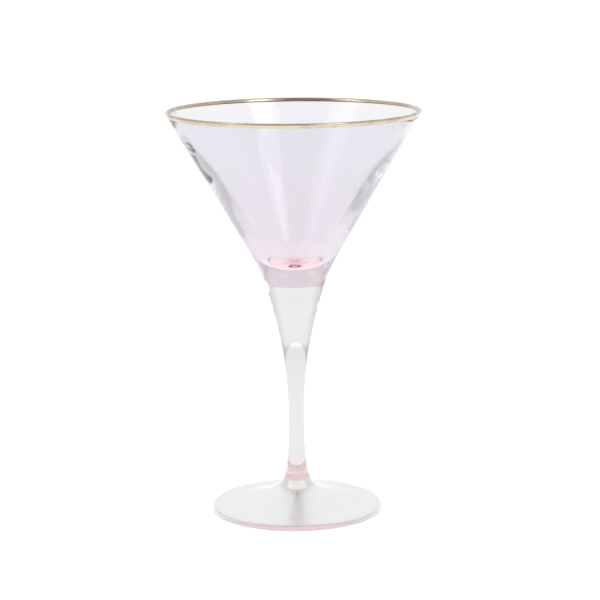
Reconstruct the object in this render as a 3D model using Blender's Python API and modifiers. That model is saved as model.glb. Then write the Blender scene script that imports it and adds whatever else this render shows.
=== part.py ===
"""A stemmed cocktail glass with a wide conical bowl and a gilded lip.

Four turned pieces share the vertical axis: the foot, the stem, the bowl and the
gold band over the lip. Lengths are in metres, +Z is up, and the origin is the
centre of the foot where it rests on the table.
"""

import math

import bpy

# Overall size
HEIGHT = 0.184
LIP_RADIUS = 0.057
FOOT_RADIUS = 0.0391

# Bowl
BOWL_HALF_ANGLE = math.radians(30.2)
LIP_WALL = 0.0015
BOWL_JOIN_HEIGHT = 0.106
BOWL_JOIN_RADIUS = 0.0136
BOWL_JOIN_SLOPE = 0.34
CONE_START_HEIGHT = 0.119
CAVITY_FLOOR_HEIGHT = 0.1155
CAVITY_FLOOR_ROUND = 0.016
SHOULDER_HEIGHT = 0.168
SHOULDER_WALL = 0.0019
SHOULDER_BEND = 0.008

# Gold band
BAND_THICKNESS = 0.0002
BAND_DROP_OUTSIDE = 0.0010
BAND_DROP_INSIDE = 0.0009

# Stem: radius at each height, from the foot's join up to the bowl's join
STEM_JOIN_HEIGHT = 0.0147
STEM_JOIN_RADIUS = 0.0062
STEM_JOIN_SLOPE = -0.34
STEM_WAIST_HEIGHT = 0.042
STEM_WAIST_RADIUS = 0.00355
STEM_STATIONS = (
    (STEM_JOIN_HEIGHT, STEM_JOIN_RADIUS),
    (0.020, 0.0048),
    (0.028, 0.0039),
    (STEM_WAIST_HEIGHT, STEM_WAIST_RADIUS),
    (0.058, 0.0040),
    (0.072, 0.0055),
    (0.088, 0.0087),
    (BOWL_JOIN_HEIGHT, BOWL_JOIN_RADIUS),
)

# Foot: height of its top at each distance from the axis, between the stem's join and the edge
FOOT_TOP_STATIONS = (
    (0.0074, 0.0132),
    (0.0090, 0.0116),
    (0.0125, 0.0094),
    (0.0180, 0.0070),
    (0.0270, 0.0048),
)
FOOT_HUB_SLOPE = -1.8
FOOT_TOP_SLOPE = -0.17
FOOT_EDGE_THICKNESS = 0.0035
FOOT_TOP_ROUND = 0.0024
FOOT_BOTTOM_ROUND = 0.0015
RESTING_RING_RADIUS = 0.0335
KICK_UP_HEIGHT = 0.0030

# Fused joins and the band's seat are kept this far apart, so that solids never touch
JOIN_GAP = 0.0003

# Facets
TURN_STEPS = 64
STEM_TURN_STEPS = 40
ROUND_POINTS = 5
FLOOR_POINTS = 9
SPAN_POINTS = 3
MERGE_DISTANCE = 0.00001
SHARP_ANGLE = math.radians(40)

COLLECTION_NAME = "martini_glass"


def clear_scene():
    """Remove every object that is already in the file."""
    for item in list(bpy.data.objects):
        bpy.data.objects.remove(item, do_unlink=True)


def make_collection(name):
    """Return a new collection linked to the scene."""
    collection = bpy.data.collections.new(name)
    bpy.context.scene.collection.children.link(collection)
    return collection


def plain_material(name, colour, roughness, metallic, transmission):
    """Return a Principled material."""
    material = bpy.data.materials.new(name)
    material.use_nodes = True
    shader = material.node_tree.nodes["Principled BSDF"]
    shader.inputs["Base Color"].default_value = (*colour, 1.0)
    shader.inputs["Roughness"].default_value = roughness
    shader.inputs["Metallic"].default_value = metallic
    shader.inputs["Transmission Weight"].default_value = transmission
    material.diffuse_color = (*colour, 1.0)
    material.roughness = roughness
    material.metallic = metallic
    return material


def lavender_glass():
    """Pale lavender glass of the bowl."""
    return plain_material("lavender_glass", (0.80, 0.74, 0.84), 0.03, 0.0, 0.9)


def clear_glass():
    """Clear glass of the stem."""
    return plain_material("clear_glass", (0.88, 0.87, 0.90), 0.03, 0.0, 0.9)


def blush_glass():
    """Clear glass of the foot, with a faint blush of pink."""
    return plain_material("blush_glass", (0.88, 0.82, 0.83), 0.03, 0.0, 0.9)


def fired_gold():
    """Bright gold, fired on the lip."""
    return plain_material("fired_gold", (0.74, 0.58, 0.38), 0.22, 1.0, 0.0)


def arc(centre, radius, start, end, count=ROUND_POINTS):
    """Points on a circle in the profile plane, from one angle to another."""
    points = []
    for index in range(count):
        angle = start + (end - start) * index / (count - 1)
        points.append((centre[0] + radius * math.cos(angle), centre[1] + radius * math.sin(angle)))
    return points


def cubic(low, high, low_slope, high_slope, count=SPAN_POINTS):
    """Radii between two (height, radius) stations with given slopes, both ends included."""
    points = []
    span = high[0] - low[0]
    for index in range(count + 1):
        t = index / count
        value = (
            (2 * t**3 - 3 * t**2 + 1) * low[1]
            + (t**3 - 2 * t**2 + t) * span * low_slope
            + (3 * t**2 - 2 * t**3) * high[1]
            + (t**3 - t**2) * span * high_slope
        )
        points.append((value, low[0] + span * t))
    return points


def smooth_outline(stations, first_slope, last_slope):
    """One smooth outline through stations; each (position, value) becomes (value, position)."""
    slopes = [first_slope]
    for below, above in zip(stations[:-2], stations[2:]):
        slopes.append((above[1] - below[1]) / (above[0] - below[0]))
    slopes.append(last_slope)
    points = []
    for index in range(len(stations) - 1):
        span = cubic(stations[index], stations[index + 1], slopes[index], slopes[index + 1])
        points.extend(span if index == 0 else span[1:])
    return points


def turned_piece(name, outline, material, collection, steps=TURN_STEPS, closed=False):
    """Turn an outline of (radius, height) points about the Z axis into one solid object.

    The outline runs up the inner side, over the top and down the outer side.
    """
    count = len(outline)
    edges = [(index, index + 1) for index in range(count - 1)]
    if closed:
        edges.append((count - 1, 0))
    profile = bpy.data.meshes.new(name + "_profile")
    profile.from_pydata([(radius, 0.0, height) for radius, height in outline], edges, [])
    guide = bpy.data.objects.new(name + "_profile", profile)
    collection.objects.link(guide)

    screw = guide.modifiers.new("Turn", "SCREW")
    screw.axis = "Z"
    screw.angle = math.tau
    screw.steps = steps
    screw.render_steps = steps
    screw.use_merge_vertices = True
    screw.merge_threshold = MERGE_DISTANCE

    depsgraph = bpy.context.evaluated_depsgraph_get()
    mesh = bpy.data.meshes.new_from_object(guide.evaluated_get(depsgraph))
    bpy.data.objects.remove(guide, do_unlink=True)
    bpy.data.meshes.remove(profile)
    mesh.name = name
    mesh.shade_smooth()
    mesh.set_sharp_from_angle(angle=SHARP_ANGLE)
    mesh.materials.clear()
    mesh.materials.append(material)
    piece = bpy.data.objects.new(name, mesh)
    collection.objects.link(piece)
    return piece


def wall_direction():
    """Unit vector that runs up the straight side of the bowl, as (radius, height)."""
    return math.sin(BOWL_HALF_ANGLE), math.cos(BOWL_HALF_ANGLE)


def lip_point(across, down):
    """A point of the lip: across the wall from its middle, outwards, and down along the wall."""
    up_radius, up_height = wall_direction()
    centre_radius = LIP_RADIUS - LIP_WALL / 2
    centre_height = HEIGHT - LIP_WALL / 2
    return (
        centre_radius + across * up_height - down * up_radius,
        centre_height - across * up_radius - down * up_height,
    )


def lip_round(half_width):
    """Half circle over the lip, from its inner side to its outer side."""
    return arc(
        lip_point(0.0, 0.0), half_width, math.pi - BOWL_HALF_ANGLE, -BOWL_HALF_ANGLE, ROUND_POINTS
    )


def bowl_outside_radius(height):
    """Radius of the straight outer side of the bowl at a height."""
    radius, top = lip_point(LIP_WALL / 2, 0.0)
    return radius - (top - height) * math.tan(BOWL_HALF_ANGLE)


def along(start, end, height):
    """Point of a straight line where it reaches a height."""
    share = (height - start[1]) / (end[1] - start[1])
    return start[0] + (end[0] - start[0]) * share, height


def slope(start, end):
    """Widening of a straight line per unit of height."""
    return (end[0] - start[0]) / (end[1] - start[1])


def cavity_outline():
    """Inside of the bowl, from the middle of the floor up to where the band's seat begins.

    The wall thins quickly from the rounded floor to the shoulder and slowly above it.
    """
    seat = lip_point(-LIP_WALL / 2, BAND_DROP_INSIDE + JOIN_GAP)
    wall = SHOULDER_WALL / math.cos(BOWL_HALF_ANGLE)
    shoulder = (bowl_outside_radius(SHOULDER_HEIGHT) - wall, SHOULDER_HEIGHT)
    centre = (0.0, CAVITY_FLOOR_HEIGHT + CAVITY_FLOOR_ROUND)
    rise = shoulder[1] - centre[1]
    reach = math.hypot(shoulder[0], rise)
    edge_angle = math.atan2(rise, shoulder[0]) - math.acos(CAVITY_FLOOR_ROUND / reach)
    floor = arc(centre, CAVITY_FLOOR_ROUND, -math.pi / 2, edge_angle, FLOOR_POINTS)
    floor[0] = (0.0, CAVITY_FLOOR_HEIGHT)
    low = along(floor[-1], shoulder, SHOULDER_HEIGHT - SHOULDER_BEND)
    high = along(shoulder, seat, SHOULDER_HEIGHT + SHOULDER_BEND)
    bend = cubic(low[::-1], high[::-1], slope(floor[-1], shoulder), slope(shoulder, seat))
    return floor + bend + [seat]


def bowl_outline():
    """Cavity, rebated lip under the gold band, cone, rounded base and flat join."""
    seat_depth = BAND_THICKNESS + JOIN_GAP
    half_neck = LIP_WALL / 2 - seat_depth
    join_height = BOWL_JOIN_HEIGHT + JOIN_GAP / 2
    cone_foot = (bowl_outside_radius(CONE_START_HEIGHT), CONE_START_HEIGHT)
    base = cubic(
        (join_height, BOWL_JOIN_RADIUS),
        (cone_foot[1], cone_foot[0]),
        BOWL_JOIN_SLOPE,
        math.tan(BOWL_HALF_ANGLE),
        2 * SPAN_POINTS,
    )
    outline = cavity_outline()
    outline.append(lip_point(-half_neck, BAND_DROP_INSIDE + JOIN_GAP))
    outline.extend(lip_round(half_neck))
    outline.append(lip_point(half_neck, BAND_DROP_OUTSIDE + JOIN_GAP))
    outline.append(lip_point(LIP_WALL / 2, BAND_DROP_OUTSIDE + JOIN_GAP))
    outline.extend(reversed(base))
    outline.append((0.0, join_height))
    return outline


def band_outline():
    """U-shaped section of the gold band that wraps the lip."""
    outer = LIP_WALL / 2
    inner = outer - BAND_THICKNESS
    outline = [lip_point(-outer, BAND_DROP_INSIDE)]
    outline.extend(lip_round(outer))
    outline.append(lip_point(outer, BAND_DROP_OUTSIDE))
    outline.append(lip_point(inner, BAND_DROP_OUTSIDE))
    outline.extend(reversed(lip_round(inner)))
    outline.append(lip_point(-inner, BAND_DROP_INSIDE))
    return outline


def stem_outline():
    """Flat top join, slender waisted side and flat bottom join."""
    top = BOWL_JOIN_HEIGHT - JOIN_GAP / 2
    bottom = STEM_JOIN_HEIGHT + JOIN_GAP / 2
    side = smooth_outline(STEM_STATIONS, STEM_JOIN_SLOPE, BOWL_JOIN_SLOPE)
    side[0] = (side[0][0], bottom)
    side[-1] = (side[-1][0], top)
    return [(0.0, top)] + list(reversed(side)) + [(0.0, bottom)]


def foot_outline():
    """Top that sweeps up to the join, thick round edge, flat resting ring and hollow underside."""
    hub_top = STEM_JOIN_HEIGHT - JOIN_GAP / 2
    top_arc_centre = (FOOT_RADIUS - FOOT_TOP_ROUND, FOOT_EDGE_THICKNESS - FOOT_TOP_ROUND)
    top_arc = arc(top_arc_centre, FOOT_TOP_ROUND, math.radians(80), 0.0)
    stations = ((STEM_JOIN_RADIUS, hub_top),) + FOOT_TOP_STATIONS + (top_arc[0],)
    top = smooth_outline(stations, FOOT_HUB_SLOPE, FOOT_TOP_SLOPE)
    top = [(radius, height) for height, radius in top[:-1]]
    bottom_arc = arc(
        (FOOT_RADIUS - FOOT_BOTTOM_ROUND, FOOT_BOTTOM_ROUND), FOOT_BOTTOM_ROUND, 0.0, -math.pi / 2
    )
    kick_radius = (RESTING_RING_RADIUS**2 + KICK_UP_HEIGHT**2) / (2 * KICK_UP_HEIGHT)
    kick_half_angle = math.asin(RESTING_RING_RADIUS / kick_radius)
    kick = arc(
        (0.0, KICK_UP_HEIGHT - kick_radius),
        kick_radius,
        math.pi / 2 - kick_half_angle,
        math.pi / 2,
    )
    kick[0] = (RESTING_RING_RADIUS, 0.0)
    kick[-1] = (0.0, KICK_UP_HEIGHT)
    return [(0.0, hub_top)] + top + top_arc + bottom_arc + kick


def build():
    """Make every piece of the glass."""
    clear_scene()
    collection = make_collection(COLLECTION_NAME)
    turned_piece("foot", foot_outline(), blush_glass(), collection)
    turned_piece("stem", stem_outline(), clear_glass(), collection, STEM_TURN_STEPS)
    turned_piece("bowl", bowl_outline(), lavender_glass(), collection)
    turned_piece("gold_rim", band_outline(), fired_gold(), collection, closed=True)


build()
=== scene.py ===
"""Finished looks of a stemmed cocktail glass with a tinted conical bowl and a gilded lip.

The file is laid out as an add-on and is run as a script. Lengths are in metres, +Z is up, and
the glass stands at the origin. Each piece is turned from rings, at a fineness that clear glass
needs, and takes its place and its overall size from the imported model.
"""

import math

import bmesh
import bpy
from bpy.props import FloatProperty, FloatVectorProperty, IntProperty, PointerProperty
from mathutils import Matrix, Vector


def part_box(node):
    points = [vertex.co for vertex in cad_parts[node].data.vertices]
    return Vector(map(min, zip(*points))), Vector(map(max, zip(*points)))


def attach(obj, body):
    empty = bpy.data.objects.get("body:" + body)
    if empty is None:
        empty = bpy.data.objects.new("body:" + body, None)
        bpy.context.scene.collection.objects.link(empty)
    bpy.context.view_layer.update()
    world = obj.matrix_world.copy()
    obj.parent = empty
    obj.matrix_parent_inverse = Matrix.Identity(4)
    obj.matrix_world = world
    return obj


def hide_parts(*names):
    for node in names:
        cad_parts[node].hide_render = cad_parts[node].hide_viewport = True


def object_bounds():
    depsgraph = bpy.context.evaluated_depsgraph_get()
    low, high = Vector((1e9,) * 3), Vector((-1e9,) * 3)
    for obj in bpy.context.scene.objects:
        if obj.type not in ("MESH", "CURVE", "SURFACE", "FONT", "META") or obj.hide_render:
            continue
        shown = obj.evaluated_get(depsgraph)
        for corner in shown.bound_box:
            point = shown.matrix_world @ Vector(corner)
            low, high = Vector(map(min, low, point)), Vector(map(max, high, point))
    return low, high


bl_info = {
    "name": "Gilded Cocktail Glass",
    "version": (1, 0, 0),
    "blender": (4, 5, 0),
    "location": "View3D > Sidebar > Glass",
    "description": "Builds a stemmed cocktail glass with a tinted bowl and a gilded lip",
    "category": "Add Mesh",
}

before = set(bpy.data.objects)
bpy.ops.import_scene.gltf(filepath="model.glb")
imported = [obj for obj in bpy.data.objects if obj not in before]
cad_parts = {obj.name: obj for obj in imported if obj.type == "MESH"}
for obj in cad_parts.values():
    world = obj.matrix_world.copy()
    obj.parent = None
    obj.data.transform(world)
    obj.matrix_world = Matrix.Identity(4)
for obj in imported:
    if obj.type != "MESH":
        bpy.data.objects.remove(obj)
CAD_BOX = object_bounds()
FOOT_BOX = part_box("foot")
STEM_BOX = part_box("stem")
BOWL_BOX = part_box("bowl")

LIP_HEIGHT = CAD_BOX[1].z
LIP_RADIUS = CAD_BOX[1].x
FOOT_RADIUS = FOOT_BOX[1].x
FOOT_JOIN_HEIGHT = (FOOT_BOX[1].z + STEM_BOX[0].z) / 2
BOWL_JOIN_HEIGHT = (STEM_BOX[1].z + BOWL_BOX[0].z) / 2
BOWL_JOIN_RADIUS = STEM_BOX[1].x

# Radius of the stem at each height between its joins
STEM_STATIONS = (
    (0.020, 0.0048),
    (0.028, 0.0039),
    (0.042, 0.00355),
    (0.058, 0.0040),
    (0.072, 0.0055),
    (0.088, 0.0087),
)

# Height of the foot's top at each distance from the axis, between the join and the edge
FOOT_JOIN_RADIUS = 0.0062
FOOT_TOP_STATIONS = (
    (0.0074, 0.0132),
    (0.0090, 0.0116),
    (0.0125, 0.0094),
    (0.0180, 0.0070),
    (0.0270, 0.0048),
)

# Modelling
MERGE_DISTANCE = 0.000001
SAME_PLACE = 0.00001
FLAT_NORMAL = 0.99
SMOOTH_ANGLE = math.radians(35)

# Patterns, as features in a metre
LUSTRE_SCALE = 45.0
BOWL_RIPPLE_SCALE = 24.0
STEM_RIPPLE_SCALE = 60.0
FOOT_RIPPLE_SCALE = 70.0
SMEAR_SCALE = 60.0
WEAR_SCALE = 90.0
BRUSH_SCALE = 900.0
TABLE_GRAIN_SCALE = 40.0

# Height of each relief
BOWL_RIPPLE_RELIEF = 0.0008
STEM_RIPPLE_RELIEF = 0.0001
FOOT_RIPPLE_RELIEF = 0.0005
BRUSH_RELIEF = 0.00002

# Refraction and roughness
GLASS_IOR = 1.5
JOIN_IOR = 1.0
SMEAR_ROUGHNESS = 0.02
FOOT_SMEAR_ROUGHNESS = 0.10
CLOUD_ROUGHNESS = 0.24
GOLD_ROUGHNESS = 0.16
WEAR_ROUGHNESS = 0.16
TABLE_ROUGHNESS = 0.9

# Share of the cool lustre in the bowl's tint
LUSTRE_SHARE = 0.25

# Start and end of each gradual change in a finish. Over the strength of a pattern:
LUSTRE_RISE = (0.35, 0.65)
WEAR_RISE = (0.45, 0.65)

# Over the height above the lowest point inside the bowl:
POOL_FADE = (-0.003, 0.006)
BOWL_FLOOR_RISE = (-0.003, -0.001)
BOWL_FLOOR_FADE = (0.001, 0.003)

# Over the height above the join of the stem and the foot:
BLUSH_FADE = (0.0, 0.012)

# Over the height above the table:
# Painted grey shade on the stem's thin waist fades out over these heights
WAIST_SHADE_FADE = (0.0757, 0.0790)
# Painted rose-grey shade on the foot's edge rises over these heights
EDGE_SHADE_SIDE_RISE = (0.0008, 0.0020)

# Over the distance from the axis:
HALO_FADE = (0.009, 0.013)
RING_RISE = (0.0026, 0.0031)
RING_FADE = (0.0036, 0.0042)
JOIN_RING_RISE = (0.0011, 0.0020)
JOIN_RING_FADE = (0.0034, 0.0043)
HUB_FADE = (0.008, 0.014)
CLOUD_RISE = (0.008, 0.016)
# Painted rose-grey shade on the foot's edge rises over this distance
EDGE_SHADE_RISE = (0.0352, 0.0372)

# Over the depth under the bowl's straight outer side:
CAVITY_RISE = (0.0006, 0.0012)

# Over a direction in the room. Sideways is squared, so that left and right are alike:
WALL_RISE = (0.1, 0.6)
WALL_SIDE_FADE = (0.16, 0.60)
CEILING_RISE = (0.40, 0.65)
CEILING_FRONT_RISE = (-0.1, -0.5)

# Distance that the floor ring keeps above the bowl's join, and below the lowest point inside
RING_ABOVE_JOIN = 0.002
RING_BELOW_FLOOR = 0.001

# Name, place, size and power in watts of each softbox, and the point that both face
SOFTBOXES = (
    ("softbox_right", (0.62, -0.75, 1.05), (0.5, 0.7), 2.1),
    ("softbox_left", (-0.80, -0.35, 0.95), (0.4, 0.7), 0.8),
)
SOFTBOX_TARGET = (0.0, 0.0, 0.13)

WHITE = (1.0, 1.0, 1.0)
TABLE_HEIGHT = -0.0002
TABLE_SIDES = 128
CAMERA_CLIP = (0.01, 40.0)
LIGHT_BOUNCES = 40


# ---------------------------------------------------------------------------------------------
# Settings
# ---------------------------------------------------------------------------------------------


def length(name, default, description):
    """A length that a user can change."""
    return FloatProperty(name=name, description=description, default=default, unit="LENGTH", precision=5)


def angle(name, default, description):
    """An angle that a user can change, given in degrees."""
    return FloatProperty(
        name=name,
        description=description,
        default=math.radians(default),
        subtype="ANGLE",
        unit="ROTATION",
    )


def colour(name, default, description):
    """A linear colour that a user can change."""
    return FloatVectorProperty(
        name=name, description=description, default=default, subtype="COLOR", size=3, min=0.0, max=1.0
    )


def amount(name, default, description):
    """A plain number that a user can change."""
    return FloatProperty(name=name, description=description, default=default)


class GlassSizes(bpy.types.PropertyGroup):
    """Sizes of the blown and pressed glass."""

    sides: IntProperty(name="Sides", description="Facets round each turned piece", default=256)
    bowl_half_angle: angle("Bowl half angle", 30.2, "Angle between the bowl's side and the axis")
    lip_wall: length("Lip wall", 0.0015, "Thickness of the wall at the lip")
    cone_start: length("Cone start", 0.119, "Height where the straight side begins")
    join_slope: amount("Join slope", 0.34, "Widening of the outline where the stem meets the bowl")
    floor_height: length("Floor height", 0.1155, "Height of the lowest point inside the bowl")
    floor_round: length("Floor round", 0.016, "Radius of the rounded floor inside the bowl")
    shoulder_height: length("Shoulder height", 0.168, "Height where the wall stops thinning fast")
    shoulder_wall: length("Shoulder wall", 0.0019, "Thickness of the wall at the shoulder")
    shoulder_bend: length("Shoulder bend", 0.008, "Half the height over which the shoulder bends")
    edge_thickness: length("Foot edge", 0.0035, "Thickness of the foot at its edge")
    edge_top_round: length("Foot top round", 0.0024, "Rounding of the foot's edge on top")
    edge_bottom_round: length("Foot bottom round", 0.0015, "Rounding of the foot's edge below")
    hub_slope: amount("Hub slope", -1.8, "Slope of the foot's top where the stem meets it")
    foot_slope: amount("Foot slope", -0.17, "Slope of the foot's top where its edge begins")
    ring_radius: length("Resting ring", 0.0335, "Inner radius of the ring that the foot rests on")
    kick_up: length("Kick-up", 0.0030, "Depth of the hollow under the foot")


class BandSizes(bpy.types.PropertyGroup):
    """Sizes of the fired gold band."""

    thickness: length("Thickness", 0.00006, "Thickness of the gold")
    gap: length("Gap", 0.00002, "Space between the gold and the glass under it")
    drop_outside: length("Outside drop", 0.0010, "How far the band runs down the outside")
    drop_inside: length("Inside drop", 0.0009, "How far the band runs down the inside")


class Tints(bpy.types.PropertyGroup):
    """Colours of the glass, the gold and the table, with painted shade on the stem's waist and the
    foot's edge.
    """

    bowl_top: colour("Bowl, near the lip", (0.715, 0.697, 0.775), "Tint of the wall near the lip")
    bowl_base: colour("Bowl, at the base", (0.730, 0.635, 0.725), "Tint of the wall at the base")
    lustre: colour("Lustre", (0.70, 0.76, 0.76), "Cool tint that comes and goes over the bowl")
    pool: colour("Pooled tint", (0.85, 0.725, 0.79), "Tint of the bowl's solid base")
    halo: colour("Halo", (0.90, 0.70, 0.72), "Salmon tint round the floor of the bowl")
    clear: colour("Clear glass", (0.970, 0.978, 1.0), "Tint of the stem, where it is thick")
    # Painted grey shade on the stem, where it is thin
    waist_shade: colour("Waist", (0.720, 0.712, 0.715), "Tint of the stem, where it is thin")
    blush: colour("Blush", (0.84, 0.65, 0.645), "Pink at the stem's lower end")
    foot: colour("Foot", (0.94, 0.90, 0.90), "Tint of the foot")
    hub: colour("Hub", (0.97, 0.95, 0.94), "Tint of the foot's hub")
    # Painted rose-grey shade along the foot's thick edge
    foot_edge_shade: colour("Foot edge", (0.64, 0.45, 0.44), "Rose grey of the foot's thick edge")
    ring: colour("Floor ring", (0.86, 0.45, 0.48), "Rose ring on the floor of the bowl")
    bowl_join: colour("Bowl join", (0.96, 0.78, 0.81), "Pink where the stem meets the bowl")
    bowl_join_ring: colour("Bowl join ring", (0.62, 0.07, 0.11), "Red ring in the bowl's join")
    foot_join: colour("Foot join", (0.97, 0.88, 0.88), "Pink where the stem meets the foot")
    foot_join_ring: colour("Foot join ring", (0.96, 0.82, 0.82), "Deeper pink in the foot's join")
    gold: colour("Gold", (0.71, 0.61, 0.48), "Bright gold")
    worn_gold: colour("Worn gold", (0.60, 0.50, 0.41), "Gold where it has worn thin")
    table: colour("Table", (0.80, 0.80, 0.80), "Pale table")
    table_grain: colour("Table grain", (0.82, 0.82, 0.82), "Paler grain in the table")


class Studio(bpy.types.PropertyGroup):
    """Camera, room and table."""

    camera_distance: length("Camera distance", 0.9411, "Distance of the camera from the axis")
    camera_height: length("Camera height", 0.2812, "Height of the camera")
    lens: amount("Lens", 127.13, "Focal length in millimetres")
    pitch: angle("Pitch", 11.026, "How far the camera looks down")
    yaw: angle("Yaw", 0.1325, "How far the camera looks to the right")
    roll: angle("Roll", 0.56, "How far the camera is tipped clockwise")
    table_radius: length("Table radius", 8.0, "Radius of the table")
    table_glow: amount("Table glow", 0.58, "Brightness of the table's own light")
    room_light: amount("Room light", 0.69, "Brightness of the room")
    wall_light: amount("Wall light", 0.18, "How much brighter the wall behind the glass is")
    ceiling_shade: amount("Ceiling shade", 0.47, "How much darker the ceiling over the camera is")


# ---------------------------------------------------------------------------------------------
# Outlines: lists of (radius, height)
# ---------------------------------------------------------------------------------------------


def arc(centre, radius, start, end, count):
    """Points on a circle, from one angle to another."""
    points = []
    for index in range(count):
        turn = start + (end - start) * index / (count - 1)
        points.append((centre[0] + radius * math.cos(turn), centre[1] + radius * math.sin(turn)))
    return points


def cubic(low, high, low_slope, high_slope, count):
    """Points from one (height, radius) station to the next, leaving both at given slopes."""
    points = []
    span = high[0] - low[0]
    for index in range(count + 1):
        t = index / count
        radius = (
            (2 * t**3 - 3 * t**2 + 1) * low[1]
            + (t**3 - 2 * t**2 + t) * span * low_slope
            + (3 * t**2 - 2 * t**3) * high[1]
            + (t**3 - t**2) * span * high_slope
        )
        points.append((radius, low[0] + span * t))
    return points


def straight(start, end, count):
    """Points on a straight line, without its first one."""
    return [
        (
            start[0] + (end[0] - start[0]) * index / count,
            start[1] + (end[1] - start[1]) * index / count,
        )
        for index in range(1, count + 1)
    ]


def lip_point(sizes, across, down):
    """A point of the lip: across the wall from its middle, outwards, and down along the wall."""
    rise, run = math.cos(sizes.bowl_half_angle), math.sin(sizes.bowl_half_angle)
    radius = LIP_RADIUS - sizes.lip_wall / 2
    height = LIP_HEIGHT - sizes.lip_wall / 2
    return radius + across * rise - down * run, height - across * run - down * rise


def lip_round(sizes, half_width, count):
    """Half circle over the lip, from its inner side to its outer side."""
    start = math.pi - sizes.bowl_half_angle
    return arc(lip_point(sizes, 0.0, 0.0), half_width, start, -sizes.bowl_half_angle, count)


def bowl_outside_radius(sizes, height):
    """Radius of the straight outer side of the bowl at a height."""
    radius, top = lip_point(sizes, sizes.lip_wall / 2, 0.0)
    return radius - (top - height) * math.tan(sizes.bowl_half_angle)


def along(start, end, height):
    """Point of a straight line where it reaches a height."""
    share = (height - start[1]) / (end[1] - start[1])
    return start[0] + (end[0] - start[0]) * share, height


def slope(start, end):
    """Widening of a straight line per unit of height."""
    return (end[0] - start[0]) / (end[1] - start[1])


def cavity_outline(sizes):
    """Inside of the bowl, from near the middle of its floor up to the lip."""
    lip = lip_point(sizes, -sizes.lip_wall / 2, 0.0)
    wall = sizes.shoulder_wall / math.cos(sizes.bowl_half_angle)
    height = sizes.shoulder_height
    shoulder = (bowl_outside_radius(sizes, height) - wall, height)
    centre = (0.0, sizes.floor_height + sizes.floor_round)
    reach = math.hypot(shoulder[0], height - centre[1])
    turn = math.atan2(height - centre[1], shoulder[0]) - math.acos(sizes.floor_round / reach)
    floor = arc(centre, sizes.floor_round, -math.pi / 2, turn, count=40)[1:]
    low = along(floor[-1], shoulder, height - sizes.shoulder_bend)
    high = along(shoulder, lip, height + sizes.shoulder_bend)
    side = straight(floor[-1], low, count=12)[:-1]
    bend = cubic(low[::-1], high[::-1], slope(floor[-1], shoulder), slope(shoulder, lip), count=16)
    return floor + side + bend + straight(high, lip, count=4)[:-1]


def bowl_outline(sizes):
    """Cavity, rounded lip, straight side and rounded base, down to the join."""
    cone_foot = (bowl_outside_radius(sizes, sizes.cone_start), sizes.cone_start)
    lip = lip_round(sizes, sizes.lip_wall / 2, count=13)
    side = straight(lip[-1], cone_foot, count=12)[:-1]
    base = cubic(
        (BOWL_JOIN_HEIGHT, BOWL_JOIN_RADIUS),
        (cone_foot[1], cone_foot[0]),
        sizes.join_slope,
        math.tan(sizes.bowl_half_angle),
        count=14,
    )
    return cavity_outline(sizes) + lip + side + base[::-1]


def through(stations, first_slope, last_slope):
    """A smooth outline through stations; each (position, value) becomes (value, position)."""
    slopes = [first_slope]
    for below, above in zip(stations[:-2], stations[2:]):
        slopes.append((above[1] - below[1]) / (above[0] - below[0]))
    slopes.append(last_slope)
    points = []
    for index in range(len(stations) - 1):
        start, end = stations[index : index + 2]
        span = cubic(start, end, slopes[index], slopes[index + 1], count=8)
        points.extend(span if index == 0 else span[1:])
    return points


def stem_outline(sizes):
    """Waisted side of the stem, from the bowl's join down to the foot's join."""
    bottom = (FOOT_JOIN_HEIGHT, FOOT_JOIN_RADIUS)
    top = (BOWL_JOIN_HEIGHT, BOWL_JOIN_RADIUS)
    stations = (bottom,) + STEM_STATIONS + (top,)
    return through(stations, -sizes.join_slope, sizes.join_slope)[::-1]


def foot_outline(sizes):
    """Top that sweeps up to the join, thick round edge, flat resting ring and hollow underside."""
    top_centre = (FOOT_RADIUS - sizes.edge_top_round, sizes.edge_thickness - sizes.edge_top_round)
    bottom_centre = (FOOT_RADIUS - sizes.edge_bottom_round, sizes.edge_bottom_round)
    edge = arc(top_centre, sizes.edge_top_round, math.radians(80), 0.0, count=12)
    stations = ((FOOT_JOIN_RADIUS, FOOT_JOIN_HEIGHT),) + FOOT_TOP_STATIONS + (edge[0],)
    top = [point[::-1] for point in through(stations, sizes.hub_slope, sizes.foot_slope)[:-1]]
    bottom = arc(bottom_centre, sizes.edge_bottom_round, 0.0, -math.pi / 2, count=10)
    curve = (sizes.ring_radius**2 + sizes.kick_up**2) / (2 * sizes.kick_up)
    half = math.asin(sizes.ring_radius / curve)
    centre = (0.0, sizes.kick_up - curve)
    kick = arc(centre, curve, math.pi / 2 - half, math.pi / 2, count=16)[:-1]
    return top + edge + bottom + kick


def band_outline(sizes, band):
    """U-shaped section of the gold, which wraps the lip and stands a hair proud of it."""
    inner = sizes.lip_wall / 2 + band.gap
    outer = inner + band.thickness
    edge = (inner + outer) / 2
    tip = band.thickness * 1.5
    inside_end = [
        lip_point(sizes, -inner, band.drop_inside),
        lip_point(sizes, -edge, band.drop_inside + tip),
        lip_point(sizes, -outer, band.drop_inside),
    ]
    outside_end = [
        lip_point(sizes, outer, band.drop_outside),
        lip_point(sizes, edge, band.drop_outside + tip),
        lip_point(sizes, inner, band.drop_outside),
    ]
    over_lip = lip_round(sizes, outer, count=17)
    under_gold = lip_round(sizes, inner, count=17)[::-1]
    return inside_end + over_lip + outside_end + under_gold


# ---------------------------------------------------------------------------------------------
# Modelling
# ---------------------------------------------------------------------------------------------


def select_nothing():
    """Leave edit mode and deselect every object."""
    if bpy.context.mode != "OBJECT":
        bpy.ops.object.mode_set(mode="OBJECT")
    bpy.ops.object.select_all(action="DESELECT")


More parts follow.
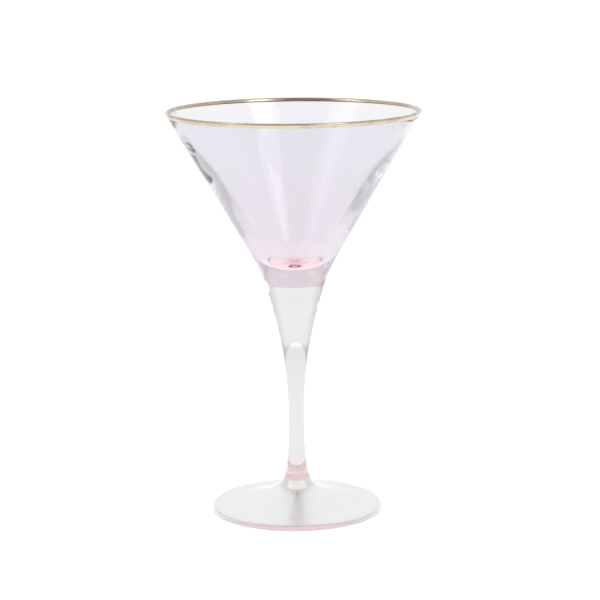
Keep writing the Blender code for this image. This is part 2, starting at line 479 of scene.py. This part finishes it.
def select_ring(piece, ring):
    """Select the edges of one ring of the piece that is being edited, by their place."""
    radius, height = ring
    shape = bmesh.from_edit_mesh(piece.data)
    bpy.ops.mesh.select_all(action="DESELECT")
    for edge in shape.edges:
        ends = [vert.co for vert in edge.verts]
        edge.select = all(
            abs(end.z - height) < SAME_PLACE and abs(end.xy.length - radius) < SAME_PLACE for end in ends
        )
    shape.select_flush(True)
    bmesh.update_edit_mesh(piece.data)


def start_ring(name, ring, sides):
    """Add a ring at its size and height, and go into edit mode with it selected."""
    select_nothing()
    radius, height = ring
    bpy.ops.mesh.primitive_circle_add(vertices=sides, radius=radius, location=(0.0, 0.0, height))
    bpy.ops.object.transform_apply(location=True, rotation=True, scale=True)
    piece = bpy.context.active_object
    piece.name = name
    piece.data.name = name
    bpy.ops.object.mode_set(mode="EDIT")
    bpy.ops.mesh.select_mode(type="EDGE")
    bpy.ops.mesh.select_all(action="SELECT")
    return piece


def extrude_rings(rings):
    """Extrude the selected ring along an outline, ring by ring."""
    for here, there in zip(rings[:-1], rings[1:]):
        grow = there[0] / here[0]
        rise = there[1] - here[1]
        bpy.ops.mesh.extrude_edges_move(TRANSFORM_OT_translate={"value": (0.0, 0.0, rise)})
        bpy.ops.transform.resize(value=(grow, grow, 1.0), center_override=(0.0, 0.0, there[1]))


def close_at_axis():
    """Close the selected ring with a fan to its middle."""
    bpy.ops.mesh.extrude_edges_move(TRANSFORM_OT_translate={"value": (0.0, 0.0, 0.0)})
    bpy.ops.mesh.merge(type="CENTER")


def finish_piece(piece):
    """Merge doubles, turn every face outwards and shade the piece smooth."""
    bpy.ops.mesh.select_all(action="SELECT")
    bpy.ops.mesh.remove_doubles(threshold=MERGE_DISTANCE)
    bpy.ops.mesh.normals_make_consistent(inside=False)
    bpy.ops.object.mode_set(mode="OBJECT")
    bpy.ops.object.shade_smooth_by_angle(angle=SMOOTH_ANGLE)
    return piece


def turned_solid(name, rings, sides):
    """Turn a solid that is closed on the axis at both ends of its outline."""
    piece = start_ring(name, rings[0], sides)
    extrude_rings(rings)
    close_at_axis()
    select_ring(piece, rings[0])
    close_at_axis()
    return finish_piece(piece)


def turned_loop(name, rings, sides):
    """Turn a solid whose outline is a closed loop off the axis."""
    piece = start_ring(name, rings[0], sides)
    extrude_rings(rings + rings[:1])
    return finish_piece(piece)


def settle(piece, node):
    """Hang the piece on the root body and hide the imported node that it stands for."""
    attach(piece, "root")
    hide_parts(node)


def dress_join(piece, height, joint):
    """Give the flat face at a fused join its own material, which lets light straight through."""
    piece.data.materials.append(joint)
    slot = len(piece.data.materials) - 1
    for face in piece.data.polygons:
        if abs(face.center.z - height) < MERGE_DISTANCE and abs(face.normal.z) > FLAT_NORMAL:
            face.material_index = slot


# ---------------------------------------------------------------------------------------------
# Materials
# ---------------------------------------------------------------------------------------------


class Value:
    """One shader socket, so that shader maths is written as arithmetic."""

    def __init__(self, graph, socket):
        self.graph = graph
        self.socket = socket

    def maths(self, operation, first, second):
        """Add a Math node."""
        return self.graph.node("ShaderNodeMath", {"operation": operation}, {0: first, 1: second})

    def __add__(self, other):
        return self.maths("ADD", self, other)

    def __radd__(self, other):
        return self.maths("ADD", other, self)

    def __sub__(self, other):
        return self.maths("SUBTRACT", self, other)

    def __rsub__(self, other):
        return self.maths("SUBTRACT", other, self)

    def __mul__(self, other):
        return self.maths("MULTIPLY", self, other)

    def __rmul__(self, other):
        return self.maths("MULTIPLY", other, self)

    def __pow__(self, other):
        return self.maths("POWER", self, other)


class Graph:
    """The node tree of a material or of the world."""

    def __init__(self, owner):
        owner.use_nodes = True
        self.tree = owner.node_tree
        self.tree.nodes.clear()

    def node(self, kind, settings=None, inputs=None, output=0):
        """Add a node, set it, fill its sockets with values or links, and return one output."""
        node = self.tree.nodes.new(kind)
        for name, value in (settings or {}).items():
            setattr(node, name, value)
        for name, value in (inputs or {}).items():
            socket = node.inputs[name]
            if isinstance(value, Value):
                self.tree.links.new(value.socket, socket)
            elif socket.type == "RGBA":
                socket.default_value = (*value, 1.0)
            else:
                socket.default_value = value
        return Value(self, node.outputs[output])

    def point(self):
        """Object coordinates."""
        return self.node("ShaderNodeTexCoord", output="Object")

    def split(self, vector):
        """The x, y and z of a vector."""
        return [self.node("ShaderNodeSeparateXYZ", None, {0: vector}, axis) for axis in range(3)]

    def radius_and_height(self, point):
        """Distance of a point from the axis, and its height."""
        x, y, z = self.split(point)
        return (x * x + y * y) ** 0.5, z

    def smooth(self, value, low, high):
        """Rise smoothly from 0 to 1 as a value goes from low to high."""
        settings = {"interpolation_type": "SMOOTHSTEP", "clamp": True}
        return self.node("ShaderNodeMapRange", settings, {0: value, 1: low, 2: high})

    def band(self, value, rise, fade):
        """Rise from 0 to 1 over one span of a value, and fade back to 0 over another."""
        return self.smooth(value, *rise) * (1 - self.smooth(value, *fade))

    def mix(self, share, first, second):
        """Mix two colours."""
        settings = {"data_type": "RGBA", "clamp_factor": True}
        return self.node("ShaderNodeMix", settings, {0: share, 6: first, 7: second}, 2)

    def noise(self, point, scale, detail=1.0, roughness=0.5):
        """Smooth noise between 0 and 1."""
        inputs = {"Vector": point, "Scale": scale, "Detail": detail, "Roughness": roughness}
        return self.node("ShaderNodeTexNoise", None, inputs)

    def bump(self, height, relief):
        """Normals of a surface with a height pattern."""
        inputs = {"Strength": 1.0, "Distance": relief, "Height": height}
        return self.node("ShaderNodeBump", None, inputs)

    def principled(self, inputs):
        """Finish a material with a Principled shader."""
        self.output("ShaderNodeOutputMaterial", self.node("ShaderNodeBsdfPrincipled", None, inputs))

    def output(self, kind, shader):
        """Add the output node and link a shader to it."""
        node = self.tree.nodes.new(kind)
        self.tree.links.new(shader.socket, node.inputs["Surface"])


def new_material(name):
    """A material and its empty graph."""
    material = bpy.data.materials.new(name)
    return material, Graph(material)


def above(base, span):
    """A span of heights that is measured from a base."""
    return base + span[0], base + span[1]


def smears(graph, point):
    """Faint wipe marks, between 0 and 1."""
    return graph.noise(point, SMEAR_SCALE, detail=3.0)


def glass(graph, base, rough, normal):
    """Finish a material as clear, refracting glass."""
    inputs = {"Base Color": base, "Roughness": rough, "Normal": normal}
    inputs.update({"Transmission Weight": 1.0, "IOR": GLASS_IOR})
    graph.principled(inputs)


def lavender_glass(tints, sizes):
    """Lavender lustre on the outside, pinker towards the base, and a rose ring on the floor."""
    material, graph = new_material("lavender_glass")
    point = graph.point()
    radius, height = graph.radius_and_height(point)
    floor = sizes.floor_height

    up_the_side = graph.smooth(height, BOWL_JOIN_HEIGHT, LIP_HEIGHT)
    base = graph.mix(up_the_side, tints.bowl_base, tints.bowl_top)
    lustre = graph.smooth(graph.noise(point, LUSTRE_SCALE), *LUSTRE_RISE)
    base = graph.mix(lustre * LUSTRE_SHARE, base, tints.lustre)
    pool = 1 - graph.smooth(height, *above(floor, POOL_FADE))
    base = graph.mix(pool, base, tints.pool)

    widening = math.tan(sizes.bowl_half_angle)
    depth = bowl_outside_radius(sizes, 0.0) + height * widening - radius
    base = graph.mix(graph.smooth(depth, *CAVITY_RISE), base, WHITE)

    near_axis = 1 - graph.smooth(radius, *HALO_FADE)
    halo = graph.smooth(height, *above(floor, BOWL_FLOOR_RISE)) * pool * near_axis
    base = graph.mix(halo, base, tints.halo)

    under_floor = (BOWL_JOIN_HEIGHT + RING_ABOVE_JOIN, floor - RING_BELOW_FLOOR)
    near_floor = graph.band(height, under_floor, above(floor, BOWL_FLOOR_FADE))
    ring = graph.band(radius, RING_RISE, RING_FADE) * near_floor
    base = graph.mix(ring, base, tints.ring)

    ripple = graph.noise(point, BOWL_RIPPLE_SCALE)
    normal = graph.bump(ripple, BOWL_RIPPLE_RELIEF)
    glass(graph, base, smears(graph, point) * SMEAR_ROUGHNESS, normal)
    return material


def clear_glass(tints):
    """Clear glass with painted grey shade below, where it is thin, and pink at its lower end."""
    material, graph = new_material("clear_glass")
    point = graph.point()
    height = graph.split(point)[2]
    blush = 1 - graph.smooth(height, *above(FOOT_JOIN_HEIGHT, BLUSH_FADE))
    # Painted grey shade on the thin waist, fading out towards the flared top
    above_waist_shade = graph.smooth(height, *WAIST_SHADE_FADE)
    base = graph.mix(blush, graph.mix(above_waist_shade, tints.waist_shade, tints.clear), tints.blush)
    ripple = graph.noise(point, STEM_RIPPLE_SCALE)
    normal = graph.bump(ripple, STEM_RIPPLE_RELIEF)
    glass(graph, base, smears(graph, point) * SMEAR_ROUGHNESS, normal)
    return material


def blush_glass(tints):
    """Pressed glass with a bright hub, a faintly clouded disc and painted rose-grey shade on its thick
    edge.
    """
    material, graph = new_material("blush_glass")
    point = graph.point()
    radius, height = graph.radius_and_height(point)
    base = graph.mix(graph.smooth(radius, *HUB_FADE), tints.hub, tints.foot)
    # Painted rose-grey shade on the foot's thick edge, above its lowest rounding
    edge = graph.smooth(radius, *EDGE_SHADE_RISE) * graph.smooth(height, *EDGE_SHADE_SIDE_RISE)
    base = graph.mix(edge, base, tints.foot_edge_shade)
    cloud = graph.smooth(radius, *CLOUD_RISE) * CLOUD_ROUGHNESS
    rough = cloud + smears(graph, point) * FOOT_SMEAR_ROUGHNESS
    normal = graph.bump(graph.noise(point, FOOT_RIPPLE_SCALE), FOOT_RIPPLE_RELIEF)
    glass(graph, base, rough, normal)
    return material


def fused_join(name, field, ring):
    """A join inside solid glass, where light goes straight on, with a ring of colour in it."""
    material, graph = new_material(name)
    radius = graph.radius_and_height(graph.point())[0]
    base = graph.mix(graph.band(radius, JOIN_RING_RISE, JOIN_RING_FADE), field, ring)
    inputs = {"Base Color": base, "Roughness": 0.0, "Transmission Weight": 1.0, "IOR": JOIN_IOR}
    graph.principled(inputs)
    return material


def clear_join(tints):
    """The join between the bowl and the stem."""
    return fused_join("clear_join", tints.bowl_join, tints.bowl_join_ring)


def rose_join(tints):
    """The join between the stem and the foot."""
    return fused_join("rose_join", tints.foot_join, tints.foot_join_ring)


def fired_gold(tints):
    """Gold with thin, worn patches and fine brush marks."""
    material, graph = new_material("fired_gold")
    point = graph.point()
    worn = graph.smooth(graph.noise(point, WEAR_SCALE, detail=4.0, roughness=0.6), *WEAR_RISE)
    base = graph.mix(worn, tints.gold, tints.worn_gold)
    rough = GOLD_ROUGHNESS + worn * WEAR_ROUGHNESS
    normal = graph.bump(graph.noise(point, BRUSH_SCALE, detail=3.0), BRUSH_RELIEF)
    graph.principled({"Base Color": base, "Metallic": 1.0, "Roughness": rough, "Normal": normal})
    return material


def light_table(tints, glow):
    """Pale table top that glows softly."""
    material, graph = new_material("light_table")
    grain = graph.noise(graph.point(), TABLE_GRAIN_SCALE, detail=2.0)
    base = graph.mix(grain, tints.table, tints.table_grain)
    inputs = {"Base Color": base, "Roughness": TABLE_ROUGHNESS, "Specular IOR Level": 0.0}
    inputs.update({"Emission Color": WHITE, "Emission Strength": glow})
    graph.principled(inputs)
    return material


# ---------------------------------------------------------------------------------------------
# Operators
# ---------------------------------------------------------------------------------------------


def aim(item, place, target):
    """Put a light at a place and turn it to a target."""
    item.location = place
    item.rotation_euler = (Vector(target) - Vector(place)).to_track_quat("-Z", "Y").to_euler()


def add_softbox(name, place, size, power):
    """Add a rectangular soft light that faces the glass."""
    light = bpy.data.lights.new(name, "AREA")
    light.shape = "RECTANGLE"
    light.size, light.size_y = size
    light.energy = power
    item = bpy.data.objects.new(name, light)
    bpy.context.scene.collection.objects.link(item)
    aim(item, place, SOFTBOX_TARGET)


class GLASS_OT_stage(bpy.types.Operator):
    """Add the glowing table, the room, the softboxes and the camera"""

    bl_idname = "glass.stage"
    bl_label = "Stage"

    def execute(self, context):
        scene = context.scene
        studio = scene.glass_studio
        self.add_table(studio, scene.glass_tints)
        self.light_world(scene, studio)
        for softbox in SOFTBOXES:
            add_softbox(*softbox)
        self.add_camera(scene, studio)
        scene.view_settings.view_transform = "Standard"
        for bounces in ("max_bounces", "glossy_bounces", "transmission_bounces"):
            setattr(scene.cycles, bounces, LIGHT_BOUNCES)
        return {"FINISHED"}

    def add_table(self, studio, tints):
        """Add a round table top under the glass."""
        select_nothing()
        place = (0.0, 0.0, TABLE_HEIGHT)
        bpy.ops.mesh.primitive_circle_add(
            vertices=TABLE_SIDES, radius=studio.table_radius, fill_type="NGON", location=place
        )
        bpy.ops.object.transform_apply(location=True, rotation=True, scale=True)
        table = bpy.context.active_object
        table.name = "floor"
        table.data.materials.append(light_table(tints, studio.table_glow))

    def light_world(self, scene, studio):
        """Surround the glass with an even room, with a paler wall behind and a darker ceiling."""
        scene.world = bpy.data.worlds.new("studio")
        graph = Graph(scene.world)
        across, back, up = graph.split(graph.node("ShaderNodeTexCoord", output="Generated"))
        middle = 1 - graph.smooth(across * across, *WALL_SIDE_FADE)
        wall = graph.smooth(back, *WALL_RISE) * middle
        ceiling = graph.smooth(back, *CEILING_FRONT_RISE) * graph.smooth(up, *CEILING_RISE)
        strength = studio.room_light - ceiling * studio.ceiling_shade + wall * studio.wall_light
        inputs = {"Color": WHITE, "Strength": strength}
        background = graph.node("ShaderNodeBackground", None, inputs)
        graph.output("ShaderNodeOutputWorld", background)

    def add_camera(self, scene, studio):
        """Add the camera."""
        camera = bpy.data.objects.new("camera", bpy.data.cameras.new("camera"))
        camera.data.lens = studio.lens
        camera.data.clip_start, camera.data.clip_end = CAMERA_CLIP
        turn = Matrix.Rotation(-studio.yaw, 4, "Z")
        tilt = Matrix.Rotation(math.pi / 2 - studio.pitch, 4, "X")
        roll = Matrix.Rotation(-studio.roll, 4, "Z")
        place = Matrix.Translation((0.0, -studio.camera_distance, studio.camera_height))
        camera.matrix_world = place @ turn @ tilt @ roll
        scene.collection.objects.link(camera)
        scene.camera = camera


class GLASS_OT_foot(bpy.types.Operator):
    """Turn the foot"""

    bl_idname = "glass.foot"
    bl_label = "Foot"

    def execute(self, context):
        sizes, tints = context.scene.glass_sizes, context.scene.glass_tints
        piece = turned_solid("foot_glass", foot_outline(sizes), sizes.sides)
        piece.data.materials.append(blush_glass(tints))
        dress_join(piece, FOOT_JOIN_HEIGHT, rose_join(tints))
        settle(piece, "foot")
        return {"FINISHED"}


class GLASS_OT_stem(bpy.types.Operator):
    """Turn the stem"""

    bl_idname = "glass.stem"
    bl_label = "Stem"

    def execute(self, context):
        sizes, tints = context.scene.glass_sizes, context.scene.glass_tints
        piece = turned_solid("stem_glass", stem_outline(sizes), sizes.sides // 2)
        piece.data.materials.append(clear_glass(tints))
        dress_join(piece, FOOT_JOIN_HEIGHT, rose_join(tints))
        dress_join(piece, BOWL_JOIN_HEIGHT, clear_join(tints))
        settle(piece, "stem")
        return {"FINISHED"}


class GLASS_OT_bowl(bpy.types.Operator):
    """Turn the bowl"""

    bl_idname = "glass.bowl"
    bl_label = "Bowl"

    def execute(self, context):
        sizes, tints = context.scene.glass_sizes, context.scene.glass_tints
        piece = turned_solid("bowl_glass", bowl_outline(sizes), sizes.sides)
        piece.data.materials.append(lavender_glass(tints, sizes))
        dress_join(piece, BOWL_JOIN_HEIGHT, clear_join(tints))
        settle(piece, "bowl")
        return {"FINISHED"}


class GLASS_OT_gold_rim(bpy.types.Operator):
    """Wrap the lip in a gold band"""

    bl_idname = "glass.gold_rim"
    bl_label = "Gold rim"

    def execute(self, context):
        scene = context.scene
        outline = band_outline(scene.glass_sizes, scene.glass_band)
        piece = turned_loop("gold_band", outline, scene.glass_sizes.sides)
        piece.data.materials.append(fired_gold(scene.glass_tints))
        settle(piece, "gold_rim")
        return {"FINISHED"}


class GLASS_PT_panel(bpy.types.Panel):
    """Buttons that build the glass piece by piece"""

    bl_idname = "GLASS_PT_panel"
    bl_label = "Gilded Cocktail Glass"
    bl_space_type = "VIEW_3D"
    bl_region_type = "UI"
    bl_category = "Glass"

    def draw(self, context):
        column = self.layout.column()
        for operator in OPERATORS:
            column.operator(operator.bl_idname)
        for name, group in SETTINGS:
            settings = getattr(context.scene, name)
            for field in group.__annotations__:
                column.prop(settings, field)


OPERATORS = (GLASS_OT_stage, GLASS_OT_foot, GLASS_OT_stem, GLASS_OT_bowl, GLASS_OT_gold_rim)
SETTINGS = (
    ("glass_sizes", GlassSizes),
    ("glass_band", BandSizes),
    ("glass_tints", Tints),
    ("glass_studio", Studio),
)


def register():
    """Register every class and hang the settings on the scene."""
    for name, group in SETTINGS:
        bpy.utils.register_class(group)
        setattr(bpy.types.Scene, name, PointerProperty(type=group))
    for operator in OPERATORS:
        bpy.utils.register_class(operator)
    bpy.utils.register_class(GLASS_PT_panel)


def unregister():
    """Undo register."""
    bpy.utils.unregister_class(GLASS_PT_panel)
    for operator in reversed(OPERATORS):
        bpy.utils.unregister_class(operator)
    for name, group in reversed(SETTINGS):
        delattr(bpy.types.Scene, name)
        bpy.utils.unregister_class(group)


def main():
    """Build the stage and every piece."""
    register()
    bpy.ops.glass.stage()
    bpy.ops.glass.foot()
    bpy.ops.glass.stem()
    bpy.ops.glass.bowl()
    bpy.ops.glass.gold_rim()


if __name__ == "__main__":
    main()
